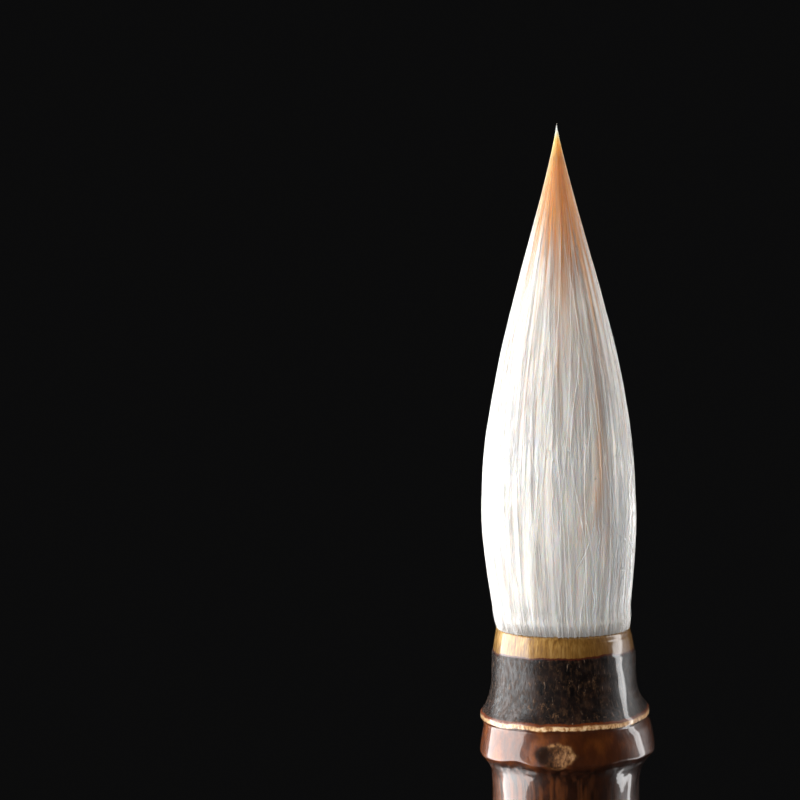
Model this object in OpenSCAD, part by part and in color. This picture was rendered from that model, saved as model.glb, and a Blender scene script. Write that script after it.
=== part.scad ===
// Calligraphy brush: a large goat-hair tuft bound, sealed and glued into the bored head of an
// inverted bamboo culm, with a horn cap glued into the tail.
// The brush stands along Z: the tail's flat end is at the origin and the hair points up.
// All sizes are in millimetres.

/* [Handle] */
// Height of the bamboo mouth above the tail's end
handle_len = 220; // [180:1:265]
// Thickness of the culm's wall at the pared rim
rim_wall = 0.25; // [0.2:0.05:0.6]
// How far the wall thickens outwards down the pared band
pared_out = 0.3; // [0.1:0.05:0.6]
// Height of the pared band
pared_h = 2.1; // [1.5:0.1:4]
// Height of the dark bark band between the paring and the sheath scar
bark_h = 6.1; // [4:0.1:9]
// How far the sheath scar of the head node stands out from the grip
scar_out = 1; // [0.6:0.1:1.5]
// Height of the sheath scar's corky line
scar_h = 0.4; // [0.3:0.1:0.8]
// Height from the sheath scar down to the ridge of the head node
ridge_h = 3.2; // [2.6:0.1:5]
// How far the head node's ridge stands out from the grip
ridge_out = 1.35; // [1:0.05:2.2]
// Outer diameter of the culm just below the head node
grip_d = 14.4; // [12:0.1:17.5]
// Outer diameter of the culm at its tail
tail_d = 11; // [10.5:0.1:13]
// Length of the first internode below the head node
first_gap = 52; // [40:1:63]
// How much longer each internode is than the one before it
gap_growth = 1.24; // [1:0.01:1.3]
// Diameter of the culm's natural hollow
hollow_d = 5.2; // [3:0.1:6]
// Radius of the ball that swells the bud scar on the head node
bud_r = 2.6; // [2:0.1:3.2]
// How far the bud scar stands out of the node's ridge
bud_out = 0.4; // [0.1:0.05:0.8]

/* [Socket] */
// Diameter of the socket bored into the culm's head for the hair
socket_d = 12.8; // [10.5:0.1:13.5]
// Depth of that socket
socket_depth = 10.6; // [8:0.1:11.5]
// Diameter of the drilled passage from the socket into the hollow
drill_d = 2.4; // [1:0.1:4]

/* [Tail cap] */
// Length of horn that shows below the culm
cap_len = 16; // [13:0.5:20]
// Diameter of the horn cap's shank
shank_d = 9; // [8:0.1:9.6]
// Height of the collar that meets the culm
collar_h = 3.2; // [2:0.1:5]
// Height of the bevel round the tail's flat end
tail_bevel = 1; // [0.4:0.1:1.5]
// Height of the hanging hole above the tail's end
hole_z = 3.6; // [3.2:0.1:4]
// Diameter of the hanging hole
hole_d = 2; // [1.2:0.1:3]
// Diameter of the cap's tenon
tenon_d = 6.6; // [5.5:0.1:8]
// Length of the cap's tenon
tenon_len = 9; // [6:0.5:14]

/* [Tuft] */
// Length of hair beyond the mouth
tuft_len = 50; // [42:1:60]
// Diameter of the tuft's belly
belly_d = 15.2; // [12.6:0.1:18.3]
// Place of the belly, as a share of the tuft's length from the point
belly_at = 0.77; // [0.65:0.01:0.85]
// How much shorter the mantle hair is than the core hair
mantle_short = 9; // [7:0.5:12]
// How much shorter the second coat is than the core hair
coat_short = 18; // [15:0.5:20]
// Height above the mouth where the lower joint's stretch of hair ends
neck_top = 5; // [4.5:0.5:8]
// Height above the mouth where the upper joint's stretch of hair begins
waist_low = 24; // [20:0.5:26]
// Height above the mouth where the upper joint's stretch of hair ends
waist_top = 29.5; // [28:0.5:31]

/* [Hidden] */
$fn = 96;

// Clearances and film thicknesses
neck_gap = 0.1;       // between the hair and the rim of the mouth, all round
glue_gap = 0.1;       // glue film round the tenon
bed_gap = 0.1;        // glue between the outer binding and the socket's wall
joint_gap = 0.1;      // between hair that bends and hair that moves as one
thread_d = 0.25;      // binding thread
core_share = 0.42;    // core's radius at the mouth, as a share of the tuft's
coat_share = 0.72;    // second coat's outer radius at the mouth, as a share of the tuft's
step = 1.25;          // height of each band of a hair outline

// Diameters that follow from the ones above
neck_d = socket_d - 2 * neck_gap;             // hair at the mouth
rim_d = socket_d + 2 * rim_wall;
pared_d = rim_d + 2 * pared_out;
scar_d = grip_d + 2 * scar_out;
ridge_d = grip_d + 2 * ridge_out;

// Heights of the handle's stations
mouth_z = handle_len;
pared_z = mouth_z - pared_h;
scar_z = pared_z - bark_h;
ridge_z = scar_z - scar_h - ridge_h;
socket_z = mouth_z - socket_depth;
tail_z = cap_len;
node_2_z = ridge_z - first_gap;
node_3_z = node_2_z - first_gap * gap_growth;
seal_h = 1.1;
bound_r = socket_d / 2 - bed_gap - thread_d;  // hair inside the outer binding
root_top = mouth_z - 0.4;
root_low = socket_z + seal_h;
core_r0 = core_share * bound_r;
coat_r0 = coat_share * bound_r;
bore_r = tenon_d / 2 + glue_gap;

// Radius of the plain culm at height z, which tapers from the head node to the tail
function culm_r(z) = (tail_d + (grip_d - tail_d) * (z - tail_z) / (ridge_z - tail_z)) / 2;

// Outline of one lower node at height c: scar, ridge and the easing on both sides, top to bottom
function node_band(c, up, n = 6) = [
    [culm_r(c + 5), c + 5],
    [culm_r(c + 3.4) + 0.12, c + 3.4],
    [culm_r(c + 3) + 0.42, c + 3],
    [culm_r(c + 2.6) + 0.42, c + 2.6],
    [culm_r(c + 2.2) + 0.2, c + 2.2],
    for (i = [0 : n]) let (a = -60 + 120 * i / n)
        [culm_r(c) + 0.2 + up * (cos(a) - 0.5), c - 1.7 * sin(a)],
    [culm_r(c - 4), c - 4]
];

// The tuft's outer radius at height h above the mouth
function tuft_r(h) = let (s = 1 - h / tuft_len)
    s < belly_at
        ? belly_d / 2 * sin(90 * pow(s / belly_at, 1.18))
        : belly_d / 2 - (belly_d - neck_d) / 2 * pow((s - belly_at) / (1 - belly_at), 1.7);

// A layer's outer radius, which reaches the tuft's own where the mantle ends
function layer_r(h, share) =
    tuft_r(h) * (share + (1 - share) * pow(min(1, h / (tuft_len - mantle_short)), 2));

// Heights from a to b in equal bands
function bands(a, b) = let (n = ceil((b - a) / step)) [for (i = [0 : n]) a + (b - a) * i / n];

module turned(outline) {
    rotate_extrude() polygon(outline);
}

// A solid of hair on the axis from height a to b, out to one layer's radius
module hair_core(a, b, share) {
    turned(concat(
        [[0, mouth_z + a]],
        [for (h = bands(a, b)) [layer_r(h, share), mouth_z + h]],
        [[0, mouth_z + b]]));
}

// A sleeve of hair from height a to b, between two layers' radii
module hair_sleeve(a, b, inner, outer) {
    turned(concat(
        [for (h = bands(a, b)) [layer_r(h, outer), mouth_z + h]],
        [for (i = [0 : len(bands(a, b)) - 1]) let (h = bands(a, b)[len(bands(a, b)) - 1 - i])
            [layer_r(h, inner), mouth_z + h]]));
}

// Inverted culm: pared mouth, dark flaring band, head node with its bud scar, two more nodes,
// a socket bored in the head and a bore in the tail
module bamboo_handle() {
    n = 10;
    color([0.32, 0.15, 0.06]) difference() {
        union() {
            turned(concat(
                [[0, mouth_z], [rim_d / 2, mouth_z], [pared_d / 2, pared_z],
                 [pared_d / 2 + 0.25, pared_z - 0.35]],
                // bark band, a hollow curve that opens towards the scar
                [for (i = [1 : n]) let (t = i / n)
                    [pared_d / 2 + 0.25 + (scar_d - 0.5 - pared_d) / 2 * pow(t, 4.5),
                     pared_z - 0.35 - (bark_h - 0.55) * t]],
                [[scar_d / 2 + 0.1, scar_z], [scar_d / 2 + 0.1, scar_z - scar_h],
                 [scar_d / 2 - 0.15, scar_z - scar_h - 0.25]],
                // head node's swelling and its fall to the grip
                [for (i = [0 : n]) let (t = i / n)
                    [scar_d / 2 - 0.05 + (ridge_d - scar_d + 0.1) / 2 * sin(90 * t),
                     scar_z - scar_h - 0.7 - (ridge_h - 0.7) * t]],
                [for (i = [1 : n]) let (t = i / n)
                    [ridge_d / 2 - (ridge_d - grip_d) / 2 * (1 - pow(1 - t, 3)),
                     ridge_z - 4.2 * t]],
                node_band(node_2_z, 0.9),
                node_band(node_3_z, 0.8),
                [[tail_d / 2, tail_z + 0.4], [tail_d / 2 - 0.3, tail_z], [0, tail_z]]));
            translate([-1.1, -(ridge_d / 2 + bud_out - bud_r), ridge_z + 0.8]) sphere(r = bud_r);
        }
        // socket for the hair
        translate([0, 0, socket_z]) cylinder(d = socket_d, h = socket_depth + 1);
        // drilled passage and the hollow of the first internode
        translate([0, 0, ridge_z - 6]) cylinder(d = drill_d, h = 12);
        translate([0, 0, node_2_z + 4]) cylinder(d = hollow_d, h = ridge_z - node_2_z - 8);
        // bore for the tenon and the hollow of the last internode
        translate([0, 0, tail_z - 1]) cylinder(r = bore_r, h = tenon_len + 1.5);
        translate([0, 0, tail_z + tenon_len]) cylinder(d = hollow_d, h = node_3_z - tail_z - tenon_len - 4);
    }
}

// Horn cap: bevelled flat end, plain shank with the hanging hole, collar and tenon
module tail_cap() {
    color([0.09, 0.07, 0.06]) difference() {
        turned([
            [0, 0], [shank_d / 2 - tail_bevel * 0.7, 0], [shank_d / 2, tail_bevel],
            [shank_d / 2, cap_len - collar_h - 0.8], [tail_d / 2 - 0.25, cap_len - collar_h],
            [tail_d / 2, cap_len - collar_h + 0.4], [tail_d / 2, cap_len - 0.3],
            [tail_d / 2 - 0.3, cap_len], [tenon_d / 2, cap_len],
            [tenon_d / 2, cap_len + tenon_len - 0.6], [tenon_d / 2 - 0.5, cap_len + tenon_len],
            [0, cap_len + tenon_len]]);
        translate([0, 0, hole_z]) rotate([0, 90, 0]) cylinder(d = hole_d, h = shank_d + 4, center = true);
    }
}

// Glue film between the tenon and its bore
module tail_glue() {
    color([0.75, 0.6, 0.35])
        turned([[tenon_d / 2, cap_len], [bore_r, cap_len], [bore_r, cap_len + tenon_len - 0.6],
            [tenon_d / 2, cap_len + tenon_len - 0.6]]);
}

// Rosin melted over the cut roots, at the bottom of the socket
module rosin_seal() {
    color([0.65, 0.4, 0.12])
        translate([0, 0, socket_z]) cylinder(r = bound_r, h = seal_h);
}

// Glue bed between the bound root and the socket
module socket_glue() {
    bind_low = root_low + 1.2;
    color([0.8, 0.62, 0.35])
        turned([[bound_r, socket_z], [socket_d / 2, socket_z], [socket_d / 2, root_top], [bound_r, root_top],
            [bound_r, bind_low + 10 * thread_d], [bound_r + thread_d, bind_low + 10 * thread_d],
            [bound_r + thread_d, bind_low], [bound_r, bind_low]]);
}

// Ten turns of thread round the whole root, with a groove between each two turns
module mantle_binding() {
    low = root_low + 1.2;
    color([0.86, 0.82, 0.72])
        turned(concat(
            [[bound_r, low]],
            [for (i = [0 : 9]) each [
                [bound_r + thread_d * 0.75, low + i * thread_d],
                [bound_r + thread_d, low + (i + 0.5) * thread_d]]],
            [[bound_r + thread_d * 0.75, low + 10 * thread_d], [bound_r, low + 10 * thread_d]]));
}

// Six turns of thread round the core hair alone
module core_binding() {
    low = root_low + 0.8;
    color([0.82, 0.3, 0.22])
        turned(concat(
            [[core_r0, low]],
            [for (i = [0 : 5]) each [
                [core_r0 + thread_d * 0.75, low + i * thread_d],
                [core_r0 + thread_d, low + (i + 0.5) * thread_d]]],
            [[core_r0 + thread_d * 0.75, low + 6 * thread_d], [core_r0, low + 6 * thread_d]]));
}

// Root of the core hair, held in the socket
module core_root() {
    color([0.85, 0.7, 0.5])
        translate([0, 0, root_low]) cylinder(r = core_r0, h = root_top - root_low);
}

// Root of the second coat, let in over the core's binding
module coat_root() {
    low = root_low + 0.8;
    color([0.92, 0.86, 0.76])
        turned([[core_r0, root_low], [coat_r0, root_low], [coat_r0, root_top], [core_r0, root_top],
            [core_r0, low + 6 * thread_d], [core_r0 + thread_d, low + 6 * thread_d],
            [core_r0 + thread_d, low], [core_r0, low]]);
}

// Root of the mantle hair that wraps the other two
module mantle_root() {
    color([0.96, 0.94, 0.9])
        turned([[coat_r0, root_low], [bound_r, root_low], [bound_r, root_top], [coat_r0, root_top]]);
}

// The stretch of hair that bends at the mouth: all three layers in one
module hair_neck() {
    color([0.94, 0.91, 0.86])
        turned(concat(
            [[0, root_top], [neck_d / 2 - 0.05, root_top]],
            [for (h = bands(0, 0.5)) [layer_r(h, 1), mouth_z + h]],
            [for (i = [1 : 3]) let (h = 0.5 + (neck_top - joint_gap - 0.5) * i / 3)
                [layer_r(h, 1), mouth_z + h]],
            [[0, mouth_z + neck_top - joint_gap]]));
}

// Core hair between the two bends
module core_hair() {
    color([0.86, 0.68, 0.46]) hair_core(neck_top, waist_low, core_share);
}

// Second coat between the two bends
module coat_hair() {
    color([0.93, 0.86, 0.74]) hair_sleeve(neck_top, waist_low, core_share, coat_share);
}

// Mantle hair between the two bends
module mantle_hair() {
    color([0.97, 0.95, 0.92]) hair_sleeve(neck_top, waist_low, coat_share, 1);
}

// The stretch of hair that bends above the belly: all three layers in one
module hair_waist() {
    color([0.94, 0.9, 0.84]) hair_core(waist_low + joint_gap, waist_top - joint_gap, 1);
}

// Core hair above the upper bend, running out to the amber point
module core_point() {
    shoulder = tuft_len - mantle_short - 2;
    coat_end = tuft_len - coat_short;
    color([0.85, 0.52, 0.2])
        turned(concat(
            [[0, mouth_z + waist_top]],
            [for (h = bands(waist_top, coat_end)) [layer_r(h, core_share), mouth_z + h]],
            [for (h = bands(coat_end, shoulder)) if (h > coat_end) [layer_r(h, core_share), mouth_z + h]],
            [for (h = bands(shoulder, tuft_len - 0.6)) [tuft_r(h), mouth_z + h]],
            [[0, mouth_z + tuft_len]]));
}

// Second coat above the upper bend
module coat_point() {
    color([0.92, 0.8, 0.6]) hair_sleeve(waist_top, tuft_len - coat_short, core_share, coat_share);
}

// Mantle hair above the upper bend: it closes on the core above the second coat's end
module mantle_point() {
    top = tuft_len - mantle_short - 2;
    coat_end = tuft_len - coat_short;
    down = bands(coat_end, top);
    low = bands(waist_top, coat_end);
    color([0.96, 0.93, 0.88])
        turned(concat(
            [for (h = low) [layer_r(h, 1), mouth_z + h]],
            [for (i = [1 : len(down) - 1]) [layer_r(down[i], 1), mouth_z + down[i]]],
            [for (i = [0 : len(down) - 1]) let (h = down[len(down) - 1 - i])
                [layer_r(h, core_share), mouth_z + h]],
            [for (i = [0 : len(low) - 1]) let (h = low[len(low) - 1 - i])
                [layer_r(h, coat_share), mouth_z + h]]));
}

bamboo_handle();
tail_cap();
tail_glue();
rosin_seal();
socket_glue();
mantle_binding();
core_binding();
core_root();
coat_root();
mantle_root();
hair_neck();
core_hair();
coat_hair();
mantle_hair();
hair_waist();
core_point();
coat_point();
mantle_point();
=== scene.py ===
import math

import bpy
import numpy as np
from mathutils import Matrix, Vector


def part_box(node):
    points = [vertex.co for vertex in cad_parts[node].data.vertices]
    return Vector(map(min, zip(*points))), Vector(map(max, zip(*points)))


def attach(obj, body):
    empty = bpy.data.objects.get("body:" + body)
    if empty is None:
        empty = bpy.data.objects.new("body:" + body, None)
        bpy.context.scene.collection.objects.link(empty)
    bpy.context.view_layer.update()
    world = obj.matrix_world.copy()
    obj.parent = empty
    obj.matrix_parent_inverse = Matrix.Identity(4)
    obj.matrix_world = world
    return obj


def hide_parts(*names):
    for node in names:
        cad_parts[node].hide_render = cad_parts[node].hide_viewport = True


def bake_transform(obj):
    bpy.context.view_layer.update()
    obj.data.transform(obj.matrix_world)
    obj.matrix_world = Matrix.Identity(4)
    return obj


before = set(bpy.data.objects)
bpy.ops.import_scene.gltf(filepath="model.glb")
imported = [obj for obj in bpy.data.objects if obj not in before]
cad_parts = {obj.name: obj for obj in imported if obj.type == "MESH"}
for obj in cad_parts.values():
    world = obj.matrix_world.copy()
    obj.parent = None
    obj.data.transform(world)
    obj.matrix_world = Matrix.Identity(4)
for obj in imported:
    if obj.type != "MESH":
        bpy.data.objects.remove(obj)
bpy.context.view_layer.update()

# ==== Bamboo handle =============================================================================
# A thin culm used upside down: its thick end is pared to a pale bevel, bored, and holds the hair.
# The dark bark is left on as far as the head node, and clear amber lacquer is dipped over all of it.
# Sizes are in millimetres and heights are measured from the mouth, so the handle's are negative.
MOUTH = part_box("bamboo_handle")[1].z * 1000
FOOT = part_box("bamboo_handle")[0].z * 1000
SOCKET_R, SOCKET_DEEP = 6.4, 10.6
TENON_BORE_R, TENON_DEEP = 3.4, 9.5
RIM_R, PARED_R, PARED_H, BARK_R = 6.65, 6.95, 2.1, 7.07
SCAR_TOP, SCAR_LOW, SCAR_R = -8.2, -8.6, 8.3
RIDGE_H, RIDGE_R = -11.8, 8.55
GRIP_H, GRIP_R, TAIL_R = -16.0, 7.2, 5.5
NODES_BELOW = (-63.8, -128.28)
BUD_ANGLE, BUD_H = math.radians(-103), -11.0


def waves(x, seed, turns, sizes):
    """A sum of cosines with seeded phases: an even, repeatable unevenness."""
    phase = np.random.default_rng(seed).uniform(0, 2 * np.pi, len(turns))
    return sum(s * np.cos(k * x + p) for k, s, p in zip(turns, sizes, phase))


def bell(x, middle, width):
    return np.exp(-(((x - middle) / width) ** 2))


def ease(x, a, b):
    """0 before a, 1 after b, smooth between; b may be below a."""
    t = np.clip((x - a) / (b - a), 0, 1)
    return t * t * (3 - 2 * t)


def culm_radius(h):
    """The handle's outline at height h, with its edges eased."""
    band = np.linspace(0, 1, 14)[1:]
    swell = np.linspace(0, 1, 8)
    fall = np.linspace(0, 1, 10)[1:]
    # the pared end, and the bark as it flares out to the scar
    down = [0, -0.12, -PARED_H, -PARED_H - 0.3, *(-2.75 - 5.25 * band)]
    out = [RIM_R - 0.06, RIM_R, PARED_R, BARK_R, *(BARK_R + 1.13 * band ** 4.0)]
    # the scar and the swollen node under it
    down += [SCAR_TOP, SCAR_LOW, -8.82, *(-9.3 - 2.5 * swell)]
    out += [SCAR_R, SCAR_R, 8.06, *(8.15 + 0.4 * np.sin(swell * np.pi / 2))]
    # the fall from the ridge to the grip, and the taper to the tail
    down += [*(RIDGE_H + (GRIP_H - RIDGE_H) * fall), FOOT - MOUTH]
    out += [*(GRIP_R + (RIDGE_R - GRIP_R) * (1 - fall) ** 3), TAIL_R]
    fine = np.linspace(-18, 0, 3601)
    table = np.interp(fine, down[::-1], out[::-1])
    kernel = bell(np.arange(-30, 31), 0, 14)
    soft = np.convolve(np.pad(table, 30, "edge"), kernel / kernel.sum(), "valid")
    r = np.where(h > -17.9, np.interp(h, fine, soft), np.interp(h, down[::-1], out[::-1]))
    for c in NODES_BELOW:
        r = r + 0.42 * bell(h, c + 2.8, 0.28) + 0.75 * bell(h, c, 1.25) - 0.1 * bell(h, c + 5.5, 1.6)
    return r


def bud_place(h, angle):
    """Place on the bud scar: across and up it, and how far out, where 1 is its edge."""
    across = np.angle(np.exp(1j * (angle - BUD_ANGLE))) * RIDGE_R / 2.0
    up = (h - BUD_H) / 1.15
    ragged = 0.05 * waves(np.arctan2(up, across), 17, (2, 3, 5, 9), (1, 0.8, 0.6, 0.5))
    return across, up, np.hypot(across / (1 - 0.4 * np.clip(-up, 0, 1)), up) + ragged


def grown(h, angle):
    """The skin's height and radius once the culm's unevenness is added."""
    down = np.exp(np.minimum(h, 0) / 3.0)
    rim = bell(h, -PARED_H, 1.3)
    node = ease(h, -5, -8) * ease(h, -17, -13)
    front = np.cos(angle + math.pi / 2)
    lift = rim * (waves(angle, 3, (1, 2, 5, 9, 14), (0.06, 0.07, 0.04, 0.04, 0.025)) + 0.1 * front)
    lift = lift - bell(h, 0, 0.7) * 0.28 * np.clip(front, 0, 1)
    lift = lift + node * (0.3 * np.cos(angle) + waves(angle, 5, (2, 3, 7, 12), (0.07, 0.06, 0.03, 0.02)))
    lift = lift + bell(h, RIDGE_H, 1.2) * waves(angle, 6, (4, 9, 15), (0.1, 0.07, 0.05))
    r = culm_radius(h)
    swelling = ease(h, -8.6, -9.6) * ease(h, -15.5, -12)
    r = r + swelling * (0.24 * np.cos(angle) + waves(angle, 9, (2, 3, 6, 11), (0.07, 0.05, 0.04, 0.025)))
    r = r + (1 - down) * waves(angle, 11, (2, 3), (0.045, 0.03))
    r = r + 0.03 * waves(h, 12, (0.9, 2.3), (1, 0.6)) * waves(angle, 13, (3, 5), (1, 1)) * ease(h, -2.6, -4)
    # crease under the ridge, broken by small pits
    crease = bell(h, RIDGE_H - 0.75, 0.2)
    r = r - crease * (0.02 + 0.05 * np.clip(waves(angle, 15, (17, 29, 41), (1, 0.8, 0.7)), 0, 2))
    # bud scar: an oval swelling with a pale dished face
    d = bud_place(h, angle)[2]
    r = r + 0.1 * ease(d, 1.6, 0.8) - 0.12 * ease(d, 0.9, 0.3)
    # the pared end was trued in two cuts, which leave a step on one side
    r = r - 0.05 * ease(h, -0.62, -0.5) * ease(np.cos(angle - 0.1), 0.1, 0.6) * ease(h, -3, -1)
    # shallow groove that runs down the culm from the bud
    groove = bell(np.angle(np.exp(1j * (angle - BUD_ANGLE))), 0, 0.3)
    r = r - 0.16 * groove * ease(h, -14, -20) * ease(h, -62, -40)
    return h + lift, r


def store(mesh, values):
    """Stores numbers or vectors per point, for a finish to read."""
    for key, value in values.items():
        value = np.asarray(value, np.float32)
        kind = ("FLOAT", "value") if value.ndim == 1 else ("FLOAT_VECTOR", "vector")
        mesh.attributes.new(key, kind[0], "POINT").data.foreach_set(kind[1], value.ravel())


def put(name, data):
    """Puts a new object in the scene."""
    thing = bpy.data.objects.new(name, data)
    bpy.context.scene.collection.objects.link(thing)
    return thing


def skin(name, rows, **values):
    """A closed skin from rows of points round the axis, in mm; values are stored per point."""
    count, around = rows.shape[:2]
    i, j = np.meshgrid(np.arange(count - 1), np.arange(around), indexing="ij")
    a, b = (i * around + j).ravel(), (i * around + (j + 1) % around).ravel()
    faces = [tuple(f) for f in np.stack([a, b, b + around, a + around], 1).tolist()]
    # a fan of triangles closes each end
    for first, centre in ((0, count * around), ((count - 1) * around, count * around + 1)):
        for k in range(around):
            pair = (first + k, first + (k + 1) % around)
            faces.append((*(pair if first else pair[::-1]), centre))
    points = np.concatenate([rows.reshape(-1, 3), rows[:1].mean(1), rows[-1:].mean(1)])
    values = {key: np.concatenate([v, v[:1], v[-around: 1 - around]]) for key, v in values.items()}
    mesh = bpy.data.meshes.new(name)
    mesh.from_pydata((points / 1000).tolist(), [], faces)
    mesh.polygons.foreach_set("use_smooth", [True] * len(mesh.polygons))
    store(mesh, {"rest": points, **values})
    mesh.update()
    return put(name, mesh)


# rows stand close at the head, a little further apart at each node, and far apart between nodes
AROUND = 232
HEAD_LOW, HEAD_STEP, NODE_STEP, PLAIN_STEP = -17.5, 0.105, 0.32, 1.9
angle = np.arange(AROUND) / AROUND * 2 * np.pi - np.pi / 2
below = [FOOT - MOUTH]
while below[-1] < HEAD_LOW:
    near = min(abs(below[-1] - c - 1) for c in NODES_BELOW)
    below.append(below[-1] + (NODE_STEP if near < 4.5 else PLAIN_STEP))
head = np.arange(HEAD_LOW, -0.05, HEAD_STEP)
heights = np.array([*(h for h in below if h < HEAD_LOW - 0.1), *head, 0.0])
height, turned = np.meshgrid(heights, angle, indexing="ij")
risen, radius = grown(height, turned)
outer = np.stack([radius * np.cos(turned), radius * np.sin(turned), MOUTH + risen], -1)


def ring_row(radius, z):
    return np.stack([radius * np.cos(angle), radius * np.sin(angle), np.full(AROUND, z)], -1)[None]


rows = np.concatenate([
    ring_row(TENON_BORE_R, FOOT + TENON_DEEP), ring_row(TENON_BORE_R, FOOT + 0.05),
    ring_row(TAIL_R - 0.3, FOOT), outer[1:],
    ring_row(SOCKET_R + 0.05, MOUTH - 0.02), ring_row(SOCKET_R, MOUTH - 0.2),
    ring_row(SOCKET_R, MOUTH - SOCKET_DEEP)])
level = np.concatenate([np.full((3, AROUND), FOOT - MOUTH), height[1:], np.full((3, AROUND), -0.4)])
across, up, out_of = bud_place(height, turned)
# lacquer lies thick everywhere but on the bark, where it has run thick only down one side
run_edge = 0.16 * np.sin(1.7 * height) + 0.1 * np.sin(3.9 * height + 1)
run = bell(np.angle(np.exp(1j * (turned - math.radians(-42)))) + run_edge, 0, 0.55)
bare_bark = ease(height, -2.0, -2.4) * ease(height, -8.3, -8.0) * (1 - run)
# the side turned from the key light: shade is painted into the colour there, and the lacquer on bare bark is
# thinner
shade_side_mask = 0.5 + 0.5 * np.cos(turned - math.radians(-38) + 0.3 * np.sin(0.5 * height))
stored = {"level": level.ravel()}
for key, shown, inside in (
        ("run", run, 0.0), ("shade_side", shade_side_mask, 0.5), ("film", 1 - bare_bark, 1.0),
        ("bud", ease(out_of, 1.08, 0.9), 0.0), ("bud_across", across, 0.0),
        # the bud's lip takes a painted highlight on its right and upper side
        ("bud_lip_highlight", bell(out_of, 0.98, 0.1) * ease(across + 0.6 * up, -0.2, 0.6), 0.0)):
    bore = np.full((3, AROUND), inside)
    stored[key] = np.concatenate([bore, shown[1:], bore]).ravel()
handle = skin("bamboo_culm", rows, **stored)


def colour(hex_code):
    """An sRGB hex colour as the linear colour that a shader takes."""
    parts = [int(hex_code[i: i + 2], 16) / 255 for i in (1, 3, 5)]
    return [x / 12.92 if x <= 0.04045 else ((x + 0.055) / 1.055) ** 2.4 for x in parts] + [1.0]


def add(tree, kind, inputs=(), ramp=(), out=0, **settings):
    """Adds a node with its settings and links, and gives the output that is asked for.

    Inputs go by name, or by place in a tuple. A hex code stands for its colour.
    """
    node = tree.nodes.new("ShaderNode" + kind)
    for key, value in settings.items():
        setattr(node, key, value)
    if ramp:
        band = node.color_ramp.elements
        while len(band) < len(ramp):
            band.new(0.5)
        for element, (place, tint) in zip(band, ramp):
            element.position = place
            element.color = colour(tint)
    for key, value in (inputs.items() if isinstance(inputs, dict) else enumerate(inputs)):
        if isinstance(value, bpy.types.NodeSocket):
            tree.links.new(value, node.inputs[key])
        else:
            node.inputs[key].default_value = colour(value) if isinstance(value, str) else value
    return node.outputs[out] if node.outputs else None


def new_finish(name):
    """An empty node material, and its tree."""
    material = bpy.data.materials.new(name)
    material.use_nodes = True
    material.node_tree.nodes.clear()
    return material, material.node_tree


# Lacquered bamboo: clear brown lacquer over bark, so the eye sees a hard wet gloss over a matt,
# mottled, fibrous ground. Fibre bundles stand 0.3 mm apart; bark flecks are 0.3 to 1.5 mm long.
lacquered_bamboo, t = new_finish("lacquered_bamboo")
rest = add(t, "Attribute", attribute_name="rest", out=1)
level_in, bud_in, lip_highlight_in, across_in, film_in, run_in, shade_side_in = (
    add(t, "Attribute", attribute_name=key, out=2)
    for key in ("level", "bud", "bud_lip_highlight", "bud_across", "film", "run", "shade_side"))
# patterns over the culm; a stretch under 1 draws one out along it
patterns = {}
for key, stretch, moved, per_mm, detail, roughness, finer in (
        ("fibres", 0.015, 0.0, 3.1, 2.0, 0.5, 2.0), ("fine fibres", 0.012, 0.0, 5.2, 2.0, 0.7, 2.0),
        ("bundles", 0.02, 0.0, 1.9, 2.0, 0.5, 2.0), ("mottle", 0.55, 0.0, 0.75, 6.0, 0.62, 2.0),
        ("flecks", 0.6, 0.0, 2.6, 5.0, 0.7, 2.0), ("worn", 0.5, 0.0, 1.7, 5.0, 0.75, 2.4),
        ("scratches", 0.14, 0.0, 4.6, 4.0, 0.7, 2.0), ("cloud", 0.45, 57.0, 0.26, 1.0, 0.3, 2.0)):
    where = add(t, "VectorMath", (rest, (1, 1, stretch), (moved, 0, 0)), operation="MULTIPLY_ADD")
    patterns[key] = add(t, "TexNoise", {"Vector": where, "Scale": per_mm, "Detail": detail,
                                        "Roughness": roughness, "Lacunarity": finer})
fibres, fine_fibres, bundles, mottle, flecks, worn, scratches, cloud = patterns.values()
# the level of each zone's edge wanders a little
fleck_wander = add(t, "MapRange", (flecks, 0.3, 0.7, -0.07, 0.07))
mottle_wander = add(t, "MapRange", (mottle, 0.3, 0.7, -0.08, 0.08))
edge = add(t, "Math", (level_in, add(t, "Math", (fleck_wander, mottle_wander))))


def zone(low, high, soft=0.06):
    """1 between two levels, with soft edges."""
    above = add(t, "MapRange", (edge, low - soft, low + soft))
    under = add(t, "MapRange", (edge, high - soft, high + soft, 1.0, 0.0))
    return add(t, "Math", (above, under), operation="MULTIPLY")


# pared end: straw-yellow wood with darker fibre ends, brown painted shade on the side turned from the key
# light, and brown at its foot
shade_side = add(t, "MapRange", (shade_side_in, 0.25, 0.9))
pared = add(t, "ValToRGB", (fine_fibres,), ramp=[(0.34, "#6E4B1C"), (0.5, "#A67A38"), (0.64, "#C79E5A")])
for tint, part in (
        ("#D2AA66", add(t, "MapRange", (bundles, 0.45, 0.75, 0.0, 0.2))),
        ("#5C3C16", add(t, "Math", (shade_side, 0.85), operation="MULTIPLY")),
        ("#5A3A15", add(t, "MapRange", (edge, -0.7, -PARED_H, 0.0, 0.5)))):
    pared = add(t, "MixRGB", (part, pared, tint))
# bark: almost black, with brown flecks and a few worn tan ones
bark = add(t, "ValToRGB", (mottle,), ramp=[(0.36, "#0B0707"), (0.52, "#170F0D"), (0.7, "#301E15")])
for tint, pattern, low, high, most in (
        ("#3D2A1C", flecks, 0.5, 0.66, 0.75), ("#866244", worn, 0.6, 0.72, 0.7),
        ("#A58A74", scratches, 0.62, 0.7, 0.5)):
    bark = add(t, "MixRGB", (add(t, "MapRange", (pattern, low, high, 0.0, most)), bark, tint))
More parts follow.
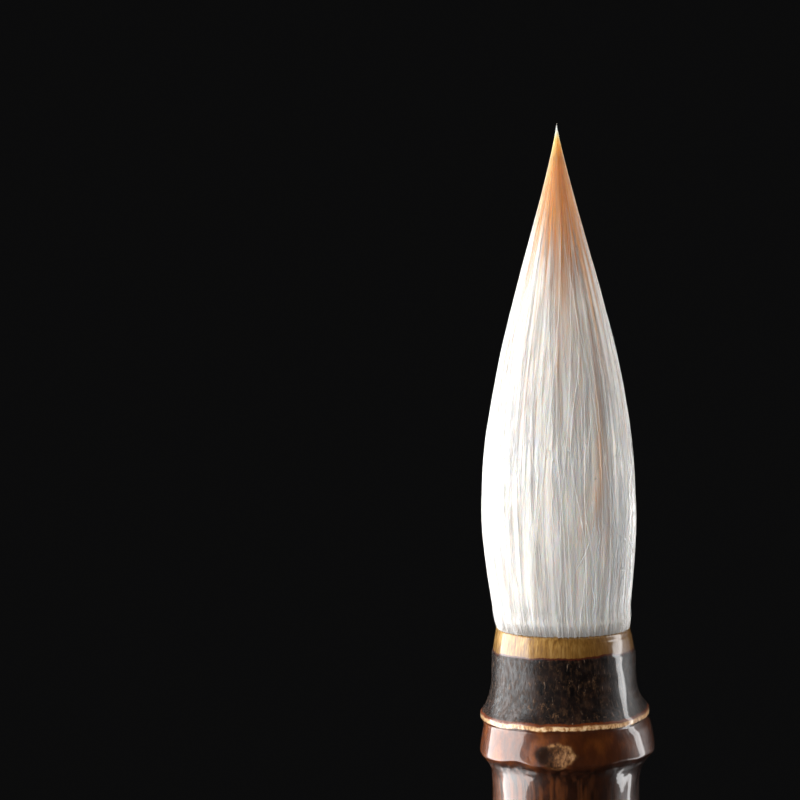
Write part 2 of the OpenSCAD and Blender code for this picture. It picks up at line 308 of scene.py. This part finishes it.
# node and culm: orange-brown where the lacquer is thin, with dark brown painted shade on the side turned
# from the key light
node = add(t, "ValToRGB", (mottle,), ramp=[(0.34, "#3C1A08"), (0.5, "#6C330D"), (0.68, "#A65A1B")])
culm = add(t, "ValToRGB", (mottle,), ramp=[(0.34, "#1C0C04"), (0.52, "#341607"), (0.7, "#5C2D10")])
streaks = add(t, "Math", (bundles, add(t, "Math", (fibres, 0.4), operation="MULTIPLY")))
culm = add(t, "MixRGB", (add(t, "MapRange", (streaks, 0.64, 0.82, 0.0, 0.6)), culm, "#7E4318"))
painted_side_shade = add(t, "Math", (shade_side, 0.8), operation="MULTIPLY")
node = add(t, "MixRGB", (painted_side_shade, node, "#2B1207"))
culm = add(t, "MixRGB", (painted_side_shade, culm, "#1C0B05"))
# scar: the pale line where the leaf sheath broke off
scar = add(t, "ValToRGB", (flecks,), ramp=[(0.38, "#8A5A30"), (0.5, "#CFA272"), (0.62, "#EACDA2")])
# painted shade in the crease under the ridge, broken by small pits
crease = zone(RIDGE_H - 1.3, RIDGE_H - 0.3, 0.25)
crease_pits_and_shade = add(t, "Math", (crease, add(t, "MapRange", (flecks, 0.42, 0.58, 0.4, 0.95))), operation="MULTIPLY")
# bud scar: dark brown to tan and pitted; painted shade darkens the side of its dished face that is in shade,
# painted light lifts the side the key light reaches, and a painted highlight runs along part of its lip
bud_light_and_shade = add(t, "MapRange", (across_in, -0.9, 0.7, -0.32, 0.12))
bud_face = add(t, "ValToRGB", (add(t, "Math", (bud_light_and_shade, flecks)),),
               ramp=[(0.3, "#241208"), (0.47, "#4C2E17"), (0.62, "#855D3A"), (0.78, "#C39A76")])
highlight_breaks = add(t, "MapRange", (flecks, 0.4, 0.6, 0.0, 0.7))
# the zones are laid over each other from the tail up
bark_zone = zone(SCAR_TOP + 0.1, -PARED_H)
pared_zone = zone(-PARED_H, 1.0)
layers = [
    (node, zone(RIDGE_H - 0.9, 1.0, 0.5)),
    (bark, zone(SCAR_TOP + 0.1, 1.0)),
    ("#5E2A0E", zone(SCAR_TOP + 0.02, SCAR_TOP + 0.26)),
    (scar, zone(SCAR_LOW + 0.02, SCAR_TOP + 0.02)),
    (pared, pared_zone),
    # a thin dark line of painted shade where the pared end meets the bark
    ("#3F150A", zone(-PARED_H - 0.12, -PARED_H + 0.03, 0.04))]
# each lower node: a pale scar line, and a dark band of painted shade under its ridge
for c in NODES_BELOW:
    layers += [(scar, zone(c + 2.45, c + 3.0, 0.1)), ("#1C0C06", zone(c - 1.9, c - 1.2, 0.3))]
layers += [("#120705", crease_pits_and_shade), (bud_face, bud_in),
           ("#B98A5A", add(t, "Math", (lip_highlight_in, highlight_breaks), operation="MULTIPLY"))]
base = culm
for tint, part in layers:
    base = add(t, "MixRGB", (part, base, tint))
# the bark is rough all over; elsewhere only the fibres stand out
off_bark = add(t, "MapRange", (bark_zone, 0.0, 1.0, 1.0, 0.1))
fibre_relief = add(t, "Math", (fibres, off_bark), operation="MULTIPLY")
relief = add(t, "Math", (fibre_relief, add(t, "MapRange", (bark_zone, 0.0, 1.0, 0.5, 1.6))))
relief = add(t, "Math", (relief, flecks), operation="MULTIPLY")
ground = add(t, "Bump", {"Height": relief, "Strength": 0.5, "Distance": 0.00006})
# the lacquer has set in slow waves, highest at the head; on the bark it follows the flecks too
by_run = add(t, "MapRange", (run_in, 0.1, 0.8, 0.35, 0.8))
by_level = add(t, "MapRange", (level_in, -40.0, -16.0, 0.3, 1.0))
film = add(t, "Bump", {"Height": cloud, "Strength": add(t, "Math", (by_run, by_level), operation="MULTIPLY"),
                       "Distance": 0.0009})
not_filmed = add(t, "MapRange", (film_in, 0.35, 0.65, 1.0, 0.0))
bare = add(t, "Math", (bark_zone, not_filmed), operation="MULTIPLY")
film_bark = add(t, "Bump", {"Height": flecks, "Strength": add(t, "MapRange", (bare, 0.0, 1.0, 0.0, 0.42)),
                            "Distance": 0.0001, "Normal": film})
# bare bark takes the lacquer in patches, and the pits under the ridge take hardly any
patches = add(t, "MapRange", (add(t, "Math", (scratches, flecks)), 0.88, 1.12, 0.85, 0.25))
thin = add(t, "Math", (bare, patches), operation="MULTIPLY")
thin = add(t, "Math", (thin, add(t, "MapRange", (shade_side_in, 0.55, 0.95, 1.0, 0.3))), operation="MULTIPLY")
coat = add(t, "Math", (add(t, "MapRange", (bare, 0.0, 1.0, 1.0, 0.0)), thin))
coat = add(t, "Math", (coat, add(t, "MapRange", (crease_pits_and_shade, 0.1, 0.7, 1.0, 0.1))), operation="MULTIPLY")
coat_roughness = add(t, "Math", (add(t, "MapRange", (bare, 0.0, 1.0, 0.04, 0.24)),
                                 add(t, "MapRange", (pared_zone, 0.0, 1.0, 0.0, 0.08))))
shader = add(t, "BsdfPrincipled", {
    "Base Color": base, "Normal": ground, "IOR": 1.45,
    "Roughness": add(t, "MapRange", (bare, 0.0, 1.0, 0.35, 0.6)),
    "Specular IOR Level": add(t, "MapRange", (bare, 0.0, 1.0, 0.4, 0.08)),
    "Coat Weight": coat, "Coat Roughness": coat_roughness, "Coat IOR": 1.43, "Coat Normal": film_bark})
add(t, "OutputMaterial", (shader,))
handle.data.materials.append(lacquered_bamboo)
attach(handle, "handle")
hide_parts("bamboo_handle")

# ==== Horn tail cap =============================================================================
# Turned from black buffalo horn, with a tenon, a collar and a hole for a hanging cord.
# The tenon is glued in the culm's tail.


def refinish(part, finish):
    """Gives a CAD part its finish."""
    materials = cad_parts[part].data.materials
    materials.clear()
    materials.append(finish)


# Polished horn: black and glossy, with faint brown growth streaks about 1 mm wide along it.
horn, t = new_finish("polished_buffalo_horn")
where = add(t, "TexCoord", out=3)
along = add(t, "VectorMath", (where, (1, 1, 0.12)), operation="MULTIPLY")
streak = add(t, "TexNoise", {"Vector": along, "Scale": 900.0, "Detail": 5.0, "Roughness": 0.6})
fine = add(t, "TexNoise", {"Vector": where, "Scale": 5200.0, "Detail": 2.0})
tint = add(t, "ValToRGB", (streak,), ramp=[(0.4, "#0E0B0A"), (0.56, "#1D1511"), (0.68, "#43301F"),
                                           (0.78, "#6B5236")])
shader = add(t, "BsdfPrincipled", {
    "Base Color": tint, "IOR": 1.54, "Roughness": add(t, "MapRange", (fine, 0.3, 0.7, 0.16, 0.3)),
    "Normal": add(t, "Bump", {"Height": streak, "Strength": 0.25, "Distance": 0.00004})})
add(t, "OutputMaterial", (shader,))
refinish("tail_cap", horn)

# ==== Glue and rosin ============================================================================
# Hide glue beds the tenon and the bound root; pine rosin is melted over the cut root ends.
# Both are poured hot and set hard, clear and amber, with fine bubbles about 0.15 mm across.
for name, parts, tints in (
        ("hard_hide_glue", ("tail_glue", "socket_glue"), ("#8A5A22", "#C08A42", "#E0B878")),
        ("melted_pine_rosin", ("rosin_seal",), ("#3E1A06", "#7A3A0E", "#B8681E"))):
    finish, t = new_finish(name)
    where = add(t, "TexCoord", out=3)
    cloud = add(t, "TexNoise", {"Vector": where, "Scale": 700.0, "Detail": 4.0})
    bubbles = add(t, "TexVoronoi", {"Vector": where, "Scale": 6000.0})
    shader = add(t, "BsdfPrincipled", {
        "Base Color": add(t, "ValToRGB", (cloud,), ramp=list(zip((0.3, 0.5, 0.7), tints))),
        "Roughness": add(t, "MapRange", (cloud, 0.3, 0.7, 0.06, 0.16)), "IOR": 1.52, "Coat Weight": 0.6,
        "Normal": add(t, "Bump", {"Height": bubbles, "Strength": 0.15, "Distance": 0.00005})})
    add(t, "OutputMaterial", (shader,))
    for part in parts:
        refinish(part, finish)

# ==== Bindings ==================================================================================
# Waxed linen goes round the whole root and red silk round the core, wound turn on turn by hand.
# The ply of a 0.25 mm thread repeats about every 0.4 mm, and shows as slanting lines.
for name, part, tints in (
        ("waxed_linen_thread", "mantle_binding", ("#8E7F62", "#CDBF9E", "#EFE6CF")),
        ("red_silk_thread", "core_binding", ("#5A0D0A", "#A3201A", "#D4483A"))):
    finish, t = new_finish(name)
    turns = add(t, "VectorMath", (add(t, "TexCoord", out=3), (1, 1, 2.5)), operation="MULTIPLY")
    ply = add(t, "TexNoise", {"Vector": turns, "Scale": 2500.0, "Detail": 3.0})
    shader = add(t, "BsdfPrincipled", {
        "Base Color": add(t, "ValToRGB", (ply,), ramp=list(zip((0.3, 0.5, 0.7), tints))),
        "Roughness": 0.6, "Sheen Weight": 0.4,
        "Normal": add(t, "Bump", {"Height": ply, "Strength": 0.5, "Distance": 0.00008})})
    add(t, "OutputMaterial", (shader,))
    refinish(part, finish)

# ==== Goat hair =================================================================================
# Three layers, each dressed and bound in turn: a core of long hair with amber translucent points,
# a second coat, and a mantle of white hair that wraps both and ends short of the core's points.
# New brushes are sized with starch, so the hair lies close and comes to one hard fine point.
TUFT, BELLY_R, BELLY_AT, NECK_R, BOUND_R = 50.0, 7.6, 0.77, 6.4, 6.05
# this side, turned from the key light, also takes painted shade in the hair's tone
STAINED_SHADED_SIDE = math.radians(-62)  # the side where amber points show furthest down
PART_H = 17.0  # the hair's lower and upper lengths meet here


def tuft_radius(h):
    s = np.clip(1 - h / TUFT, 0, 1)
    tip = BELLY_R * np.sin(np.pi / 2 * (np.minimum(s, BELLY_AT) / BELLY_AT) ** 1.18)
    low = BELLY_R - (BELLY_R - NECK_R) * (np.maximum(s - BELLY_AT, 0) / (1 - BELLY_AT)) ** 1.7
    return np.where(s < BELLY_AT, tip, low + 0.16 * bell(h, 0.9, 0.8))


def lean(h):
    """How far the tuft's middle stands to one side: it was never set quite true."""
    return ease(h, -1, 2.5) * (0.14 * ease(h, 30, 48) - 0.29 * bell(h, 11, 13))


def mantle_end(a):
    """How high the mantle reaches: less on the stained side, and in uneven points."""
    return 40.0 - 3.4 * np.cos(a - STAINED_SHADED_SIDE) + 0.9 * waves(a, 25, (9, 16, 27, 44), (1, 0.9, 0.8, 0.6))


def share(h, a, at_mouth):
    """A layer's share of the tuft's radius; the mantle sinks under the core's hair where it ends."""
    if at_mouth < 0.9:
        return at_mouth + (0.985 - at_mouth) * np.clip(h / 47.0, 0, 1) ** 2
    return at_mouth - 0.02 * ease(h, mantle_end(a) - 4, mantle_end(a) + 6)


def part_line(a):
    """The height at each side where the lower and upper lengths meet: uneven, as locks lie."""
    return PART_H + 1.1 * waves(a, 27, (23, 41, 67), (1, 0.9, 0.8))


def bundle(heights, around, at_mouth, seed):
    """The heights, angles and points of a close bundle of hair, finely fluted."""
    a = np.arange(around) / around * 2 * np.pi + np.pi / 2
    h, a = np.meshgrid(heights, a, indexing="ij")
    h = h + (part_line(a) - PART_H) * (1 - ease(abs(h - PART_H), 0, 6))
    r = tuft_radius(h) * share(h, a, at_mouth)
    drift = 0.05 * waves(h, seed, (0.09, 0.21), (1, 0.6))
    ribs = waves(a + drift, seed + 1, (31, 47, 73, 101), (0.7, 0.8, 0.8, 0.7))
    lumps = waves(a + 2 * drift, seed + 2, (5, 8, 13), (0.5, 0.4, 0.35))
    lumps = lumps * waves(h, seed + 3, (0.11, 0.23), (1, 0.7))
    r = r + 0.006 * (ribs + lumps) * np.clip(r / 7, 0.03, 1)
    return h, a, np.stack([r * np.cos(a) + lean(h), r * np.sin(a), MOUTH + h], -1)


def even(low, high, step=0.5):
    return np.linspace(low, high, max(2, int((high - low) / step) + 1))


def painted_shade_of(h, a):
    """Painted shade: the hair's tone is darker on the side turned from the key light, the more so towards
    the point.
    """
    return -0.2 * np.cos(a - STAINED_SHADED_SIDE) * ease(h, 8, 36)


def amber_and_shade_of(h, a):
    """How amber and translucent the mass of hair is at each place; one tan streak in it is partly painted
    shade.
    """
    streaks = waves(a, 21, (7, 11, 17, 29, 43), (1, 0.9, 0.8, 0.7, 0.5)) / 4
    stain = ease(h + 8 * streaks + 4 * np.cos(a - STAINED_SHADED_SIDE), 30, 49)
    # places where the core shows between the locks: degrees round, strength, breadth, and heights; the
    # first, low on the front right of centre where shade falls between the key and rim lights, is partly
    # painted shade
    for turn, strength, breadth, low, high in (
            (-74, 0.42, 0.17, 2, 18), (-81, 0.9, 0.13, 31, 39), (-112, 0.4, 0.12, 28, 36),
            (-58, 0.55, 0.14, 24, 36), (96, 0.5, 0.3, 26, 38)):
        away = np.angle(np.exp(1j * (a - math.radians(turn) - 0.012 * (h - low))))
        stain = np.maximum(stain, strength * bell(away, 0, breadth) * ease(h, low, high))
    return stain


def comb_place(h, a):
    """A place in the hair as if it were combed straight, so that patterns run along it."""
    return np.stack([BELLY_R * np.cos(a), BELLY_R * np.sin(a), h], -1)


def bend(piece, lower):
    """Bakes the piece's placement into its points; lower and upper lengths are treated alike."""
    if lower:
        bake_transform(piece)
    else:
        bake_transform(piece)


# Hair, dressed goat: fine translucent fibres, white low down and amber at the points, seen as
# close parallel lines with broken silky glints. A hair is 0.06 mm thick, and the lines are drawn
# 0.15 mm apart so that they show. Single hairs are glossy where glue or starch has wetted them;
# the mass lets light soak in, but less so near the join of its two lengths, which hides the join.
def hair_finish(name, whites, roughness, single):
    finish, t = new_finish(name)
    comb = add(t, "Attribute", attribute_name="comb", out=1)
    amber, tone, pale = (
        add(t, "Attribute", attribute_name=key, out=2) for key in ("amber", "tone", "pale"))
    fine = add(t, "VectorMath", (comb, (1, 1, 0.035)), operation="MULTIPLY")
    lines = add(t, "TexNoise", {"Vector": fine, "Scale": 6.5, "Detail": 4.0, "Roughness": 0.7})
    broad = add(t, "VectorMath", (comb, (1, 1, 0.05)), operation="MULTIPLY")
    locks = add(t, "TexNoise", {"Vector": broad, "Scale": 1.3, "Detail": 3.0, "Roughness": 0.6})
    half_lines = add(t, "Math", (lines, 0.5), operation="MULTIPLY")
    half_tone = add(t, "Math", (tone, 0.5), operation="MULTIPLY")
    mixed = add(t, "Math", (half_lines, half_tone))
    white, deep = (
        add(t, "ValToRGB", (mixed,), ramp=list(zip((0.25, 0.5, 0.7), tints)))
        for tints in (whites, ("#C0650A", "#F2B25A", "#FFE4B8")))
    uneven = add(t, "MapRange", (locks, 0.3, 0.7, -0.3, 0.3))
    spread = add(t, "MapRange", (add(t, "Math", (amber, uneven)), 0.1, 0.95))
    height = add(t, "SeparateXYZ", (comb,), out=2)
    # tan and then amber towards the points, shade at the foot, and one pale fine point
    base = white
    for tint, part in (
            ("#DDBCA2", add(t, "MapRange", (spread, 0.0, 0.45, 0.0, 0.85))),
            (deep, add(t, "MapRange", (spread, 0.3, 1.02))),
            ("#8C7863", add(t, "MapRange", (height, 0.2, 1.8, 0.45, 0.0))),
            ("#FBEBC6", pale)):
        base = add(t, "MixRGB", (part, base, tint))
    if single:
        wet = add(t, "Attribute", attribute_name="wet", out=2)
        own = {"Roughness": add(t, "MapRange", (wet, 0.0, 1.0, roughness, 0.12)),
               "Coat Weight": wet, "Coat Roughness": 0.1, "Coat IOR": 1.7,
               "Subsurface Weight": 0.5, "Subsurface Scale": 0.0006}
    else:
        soak = add(t, "Attribute", attribute_name="soak", out=2)
        own = {"Roughness": roughness, "Subsurface Weight": 1.0,
               "Subsurface Scale": add(t, "Math", (soak, 0.0025), operation="MULTIPLY")}
    bump = add(t, "Bump", {"Height": lines, "Strength": 0.45, "Distance": 0.00012})
    shader = add(t, "BsdfPrincipled", {
        "Base Color": base, "Normal": bump, "IOR": 1.55, "Subsurface Radius": (1.0, 0.8, 0.62), **own})
    add(t, "OutputMaterial", (shader,))
    return finish


white_goat_hair = hair_finish("white_goat_hair", ("#EDE4DB", "#F8F4EF", "#FFFEFC"), 0.4, True)
massed_goat_hair = hair_finish("massed_goat_hair", ("#EADDD0", "#F8F1EA", "#FFFCF9"), 0.5, False)
core_goat_hair = hair_finish("core_goat_hair", ("#B9854C", "#DDB07A", "#EFD3A8"), 0.45, False)

# Massed hair of the three layers, from the bottom of the socket to the point.
LAYERS = (
    # name, share of the radius at the mouth, end height, points round, pattern's seed, finish
    ("core", 0.42, TUFT, 300, 34, core_goat_hair),
    ("coat", 0.72, 33.0, 160, 34, massed_goat_hair),
    ("mantle", 0.99, 49.0, 300, 36, massed_goat_hair))
for name, at_mouth, top, around, seed, finish in LAYERS:
    for part, low, high, solid in (
            ("root", -9.4, -0.4, "root"), ("lower", -0.4, PART_H, "hair"), ("upper", PART_H, top, "point")):
        heights = even(low, high)
        if part == "upper" and name != "coat":
            heights = [*even(low, high - 4), *(high - 3.5 * (1 - even(0, 1, 0.06)) ** 1.5)]
        height, turned, rows = bundle(heights, around, at_mouth, seed)
        if part == "root":
            bound = BOUND_R * at_mouth * (1 + 0.01 * waves(turned, 3, (60,), (1,)))
            rows[..., :2] *= (bound / np.hypot(rows[..., 0], rows[..., 1]))[..., None]
        end = 39 if name == "core" else mantle_end(turned) + 4
        amber = np.maximum(amber_and_shade_of(height, turned), ease(height, end - 10, end))
        soak = 0.02 + 0.98 * ease(abs(height - part_line(turned)), 0.3, 6.5)
        # the tone carries painted shade on the side turned from the key light
        piece = skin(f"{name}_hair_{part}", rows, comb=comb_place(height, turned).reshape(-1, 3),
                     amber=amber.ravel(), tone=(0.5 + painted_shade_of(height, turned)).ravel(), soak=soak.ravel(),
                     pale=ease(height, 48.2, 49.6).ravel())
        piece.data.materials.append(finish)
        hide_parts(f"{name}_{solid}")
        if part == "root":
            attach(piece, "handle")
        else:
            bend(piece, part == "lower")
        if name == "mantle" and part == "lower":
            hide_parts("hair_neck")
        if name == "mantle" and part == "upper":
            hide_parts("hair_waist")

# Single hairs and small locks, laid over the mass. Each follows the spindle from the mouth to its
# own end; hairs of one lock draw together and apart, and each has a slight crinkle.
LOCKS = 84
HAIR_R = 0.03
lock_rng = np.random.default_rng(5)
lock_phase = lock_rng.uniform(0, 2 * np.pi, (LOCKS, 6))


def lay(h, hair):
    """Where each hair's line runs: angle round the tuft and distance from the axis, at heights h."""
    lock = hair["lock"]
    sway = lock_phase[lock][:, :, None]
    centre = ((lock + 0.5) / LOCKS * 2 * np.pi)[:, None]
    pinch = 1 - hair["pinch"][:, None] * (0.5 + 0.5 * np.sin(0.16 * h + sway[:, 0]))
    swing = 0.03 * np.sin(0.11 * h + sway[:, 1]) + 0.014 * np.sin(0.31 * h + sway[:, 2])
    own = hair["wander"][:, None] * np.sin(hair["pace"][:, None] * h + hair["phase"][:, None])
    crinkle = hair["crinkle"][:, None] * np.sin(2.1 * h + 5 * hair["phase"][:, None])
    a = centre + hair["offset"][:, None] * pinch + swing + own + crinkle + hair["slant"][:, None] * (h - 20)
    radius = tuft_radius(h)
    relief = 0.006 * np.sin(0.2 * h + sway[:, 3]) + 0.004 * np.sin(0.43 * h + sway[:, 4])
    ride = hair["ride"][:, None] + 0.02 * np.sin(0.7 * h + 3 * hair["phase"][:, None])
    thin = np.clip(radius / 6.5, 0.06, 1)
    begin, end = hair["begin"][:, None], hair["end"][:, None]
    sunk = 0.16 * ease(h, end - 3.0, end) + 0.2 * ease(h, begin + 3.0, begin)
    r = radius * 0.985 + (relief + ride - sunk) * thin
    return a, np.maximum(r, 0.01)


def comb_out(name, hair, low, high, segments, lower):
    """Lays hairs as thin three-sided tubes between two heights, or up to each one's own end."""
    top, foot = np.minimum(hair["end"], high), np.maximum(hair["begin"], low)
    keep = top > foot + 0.6
    hair = {key: fact[keep] for key, fact in hair.items()}
    top, foot = top[keep][:, None], foot[keep][:, None]
    h = foot + (top - foot) * np.linspace(0, 1, segments + 1)[None]
    a, r = lay(h, hair)
    centre = np.stack([r * np.cos(a) + lean(h), r * np.sin(a), MOUTH + h], -1)
    out = np.stack([np.cos(a), np.sin(a), 0 * a], -1)
    side = np.stack([-np.sin(a), np.cos(a), 0 * a], -1)
    end = hair["end"][:, None]
    thick = (hair["thick"][:, None] * HAIR_R * np.clip(0.25 + 0.75 * tuft_radius(h) / 6.0, 0, 1)
             * np.clip((end - h) / 6.0, 0.02, 1) ** 0.7)
    turns = [k * 2 * math.pi / 3 for k in range(3)]
    points = np.stack([centre + thick[..., None] * (0.7 * math.cos(turn) * out + math.sin(turn) * side)
                       for turn in turns], 2)  # hair, place along it, side
    first = (np.arange(len(top)) * (segments + 1) * 3)[:, None, None]
    i = np.arange(segments)[None, :, None] * 3
    k = np.arange(3)[None, None, :]
    after = (k + 1) % 3
    corners = np.broadcast_arrays(first + i + k, first + i + after, first + i + 3 + after, first + i + 3 + k)
    quads = np.stack(corners, -1).reshape(-1, 4)
    mesh = bpy.data.meshes.new(name)
    mesh.vertices.add(points.size // 3)
    mesh.vertices.foreach_set("co", (points.reshape(-1, 3) / 1000).ravel().astype(np.float32))
    mesh.loops.add(quads.size)
    mesh.loops.foreach_set("vertex_index", quads.ravel().astype(np.int32))
    mesh.polygons.add(len(quads))
    mesh.polygons.foreach_set("loop_start", np.arange(0, quads.size, 4, dtype=np.int32))
    mesh.polygons.foreach_set("use_smooth", np.ones(len(quads), bool))
    stain = hair["stain"][:, None]
    clear = ease(h, end - hair["clear"][:, None], end + 0.5) * stain
    shown = {
        "amber": np.maximum(clear, amber_and_shade_of(h, a) * (0.25 + 0.6 * stain)),
        # tone: each hair's own tone, with painted shade on the side turned from the key light
        "tone": hair["tone"][:, None] + painted_shade_of(h, a),
        "wet": np.maximum(hair["glue"][:, None] * ease(h, 3.2, 0.4), hair["size"][:, None]),
        "pale": ease(h, 48.0, 49.6)}
    store(mesh, {key: np.repeat(value[..., None], 3, 2).ravel() for key, value in shown.items()})
    store(mesh, {"comb": np.repeat(comb_place(h, a)[:, :, None], 3, 2).reshape(-1, 3)})
    mesh.update(calc_edges=True)
    mesh.validate()
    mesh.materials.append(white_goat_hair)
    piece = put(name, mesh)
    bend(piece, lower)


def grow(count, seed, ends, pinch=0.4, ride=(-0.03, 0.05), wander=0.012, crinkle=0.002, slant=0.0,
         thick=(0.7, 1.2), stain=(0.2, 1.0), clear=(6, 14), reach=2.6, begin=(-9, -9), arc=(0.0, 1.0),
         size=0.0, tone=(0.15, 0.85)):
    """The seeded facts of a number of hairs, on the whole tuft or on an arc of it."""
    g = np.random.default_rng(seed)
    around = arc[0] + (arc[1] - arc[0]) * (np.arange(count) + g.uniform(0, 1, count)) / count
    lock = np.floor(around * LOCKS).astype(int) % LOCKS
    from_middle = (around - (lock + 0.5) / LOCKS) * 2 * np.pi
    shorter = reach * np.cos(around * 2 * np.pi - STAINED_SHADED_SIDE)  # the mantle ends lower on the stained side
    return {
        "lock": lock,
        "offset": from_middle * g.uniform(0.7, 1.3, count),
        "pinch": g.uniform(0.1, pinch, count),
        "wander": g.normal(0, wander, count),
        "pace": g.uniform(0.08, 0.35, count),
        "phase": g.uniform(0, 2 * np.pi, count),
        "crinkle": np.abs(g.normal(0, crinkle, count)),
        "slant": g.normal(0, 1, count) * slant,
        "ride": g.uniform(*ride, count),
        "end": ends(g, count) - shorter,
        "thick": g.uniform(*thick, count),
        "tone": g.uniform(*tone, count),
        "glue": np.maximum(g.uniform(0, 1, count) > 0.35, size),
        "size": np.full(count, size),
        "stain": g.uniform(*stain, count),
        "clear": g.uniform(*clear, count),
        "begin": g.uniform(*begin, count),
        "part": PART_H + g.uniform(-2.8, 2.8, count)}


# mantle hairs in three depths, each hair in a lower and an upper length
for i in range(3):
    mantle = grow(900, 100 + i, lambda g, n: 46.5 - 23 * g.beta(1.5, 1.7, n),
                  ride=(-0.05 + 0.02 * i, 0.01 + 0.02 * i))
    comb_out(f"mantle_hairs_lower_{i}", mantle, -0.6, mantle["part"], 13, True)
    comb_out(f"mantle_hairs_upper_{i}", mantle, mantle["part"], 99, 20, False)
# stray hairs that cross the others
strays = grow(70, 300, lambda g, n: g.uniform(28, 47, n), pinch=0.2, ride=(0.09, 0.14), wander=0.05,
              crinkle=0.006, slant=0.006, thick=(0.8, 1.25), stain=(0.0, 0.3), tone=(0.9, 1.0))
comb_out("stray_hairs_lower", strays, -0.4, strays["part"], 18, True)
comb_out("stray_hairs_upper", strays, strays["part"], 99, 26, False)
# small locks stuck together by the starch, with a hard gloss, on one side; their whiter tone is partly a
# painted glint
sized = grow(64, 350, lambda g, n: g.uniform(7, 19, n), pinch=0.5, ride=(0.0, 0.04), wander=0.03,
             crinkle=0.011, slant=0.004, thick=(3.0, 6.0), tone=(0.9, 1.0), stain=(0.0, 0.1), begin=(-1, 9),
             arc=(0.8, 1.03), size=1.0, reach=0.0)
comb_out("sized_locks", sized, -0.4, PART_H, 22, True)
# the core's own hairs, which make the fine point
points = grow(190, 400, lambda g, n: 49.9 - 4 * g.uniform(0, 1, n) ** 2, pinch=0.3, ride=(-0.05, 0.03),
              wander=0.01, stain=(0.5, 1.0), clear=(20, 26), thick=(0.8, 1.1), reach=0.0, begin=(33, 42))
comb_out("core_point_hairs", points, 33.0, 99, 16, False)

# ==== Studio ====================================================================================
# Two large soft boxes, a front fill and a top fill light the brush and a pale paper floor, and two
# tall panels to the left and right are what the lacquer mirrors; each is hidden from the other job.
# The lens is level with the hair's lower half, as near as a macro shot of the head stands.


def soft_box(name, place, size, watts, aim, hidden_from):
    """A rectangular lamp, hidden from the lens and from one kind of light ray."""
    lamp = bpy.data.lights.new(name, "AREA")
    lamp.shape = "RECTANGLE"
    lamp.size, lamp.size_y = size
    lamp.energy = watts
    box = put(name, lamp)
    box.location = place
    box.rotation_euler = (Vector(aim) - Vector(place)).to_track_quat("-Z", "Y").to_euler()
    box.visible_camera = False
    setattr(box, f"visible_{hidden_from}", False)


soft_box("key_box", (-2.4, 0.16, 1.04), (3.2, 2.04), 148.0, (0, 0, 0.4), "glossy")
soft_box("rim_box", (2.36, 0.5, 1.04), (0.84, 2.04), 60.0, (0, 0, 0.4), "glossy")
soft_box("key_panel", (-0.447, 0.055, 0.16), (0.585, 0.94), 12.4, (0, 0, 0.16), "diffuse")
soft_box("rim_panel", (0.44, 0.094, 0.16), (0.155, 0.94), 2.7, (0, 0, 0.16), "diffuse")
soft_box("front_fill", (-0.45, -0.8, 0.16), (0.5, 0.3), 3.8, (0, 0, 0.24), "glossy")
soft_box("top_fill", (0, -0.3, 1.9), (2.4, 2.4), 9.0, (0, -0.3, 0), "glossy")

FLOOR_R, FLOOR_Y, FLOOR_SIDES = 0.95, -0.3, 96
floor_turns = [k * 2 * math.pi / FLOOR_SIDES for k in range(FLOOR_SIDES)]
floor_mesh = bpy.data.meshes.new("studio_floor")
floor_mesh.from_pydata(
    [(FLOOR_R * math.cos(turn), FLOOR_R * math.sin(turn) + FLOOR_Y, -0.0002) for turn in floor_turns],
    [], [tuple(range(FLOOR_SIDES))])
floor = put("studio_floor", floor_mesh)
# Seamless paper: matt and pale, with a fine tooth of about 1 mm.
paper, t = new_finish("pale_seamless_paper")
tooth = add(t, "TexNoise", {"Vector": add(t, "TexCoord", out=3), "Scale": 900.0, "Detail": 2.0})
tint = add(t, "ValToRGB", (tooth,), ramp=[(0.3, "#B2AFAA"), (0.7, "#BAB7B2")])
shader = add(t, "BsdfPrincipled", {"Base Color": tint, "Roughness": 0.9, "Specular IOR Level": 0.0})
add(t, "OutputMaterial", (shader,))
floor_mesh.materials.append(paper)
floor.visible_glossy = False  # the lacquer mirrors only the soft boxes

world = bpy.data.worlds.new("dark_studio")
world.use_nodes = True
world.node_tree.nodes["Background"].inputs["Color"].default_value = (0.0035, 0.0035, 0.0036, 1)
bpy.context.scene.world = world
bpy.context.scene.view_settings.view_transform = "Standard"

camera = put("camera", bpy.data.cameras.new("camera"))
camera.data.lens, camera.data.sensor_width = 67.5, 36.0
camera.data.clip_start, camera.data.clip_end = 0.01, 20
camera.location = (-0.01583, -0.14889, (MOUTH + 22.76) / 1000)
camera.rotation_euler = (math.pi / 2, math.radians(0.908), 0)
bpy.context.scene.camera = camera
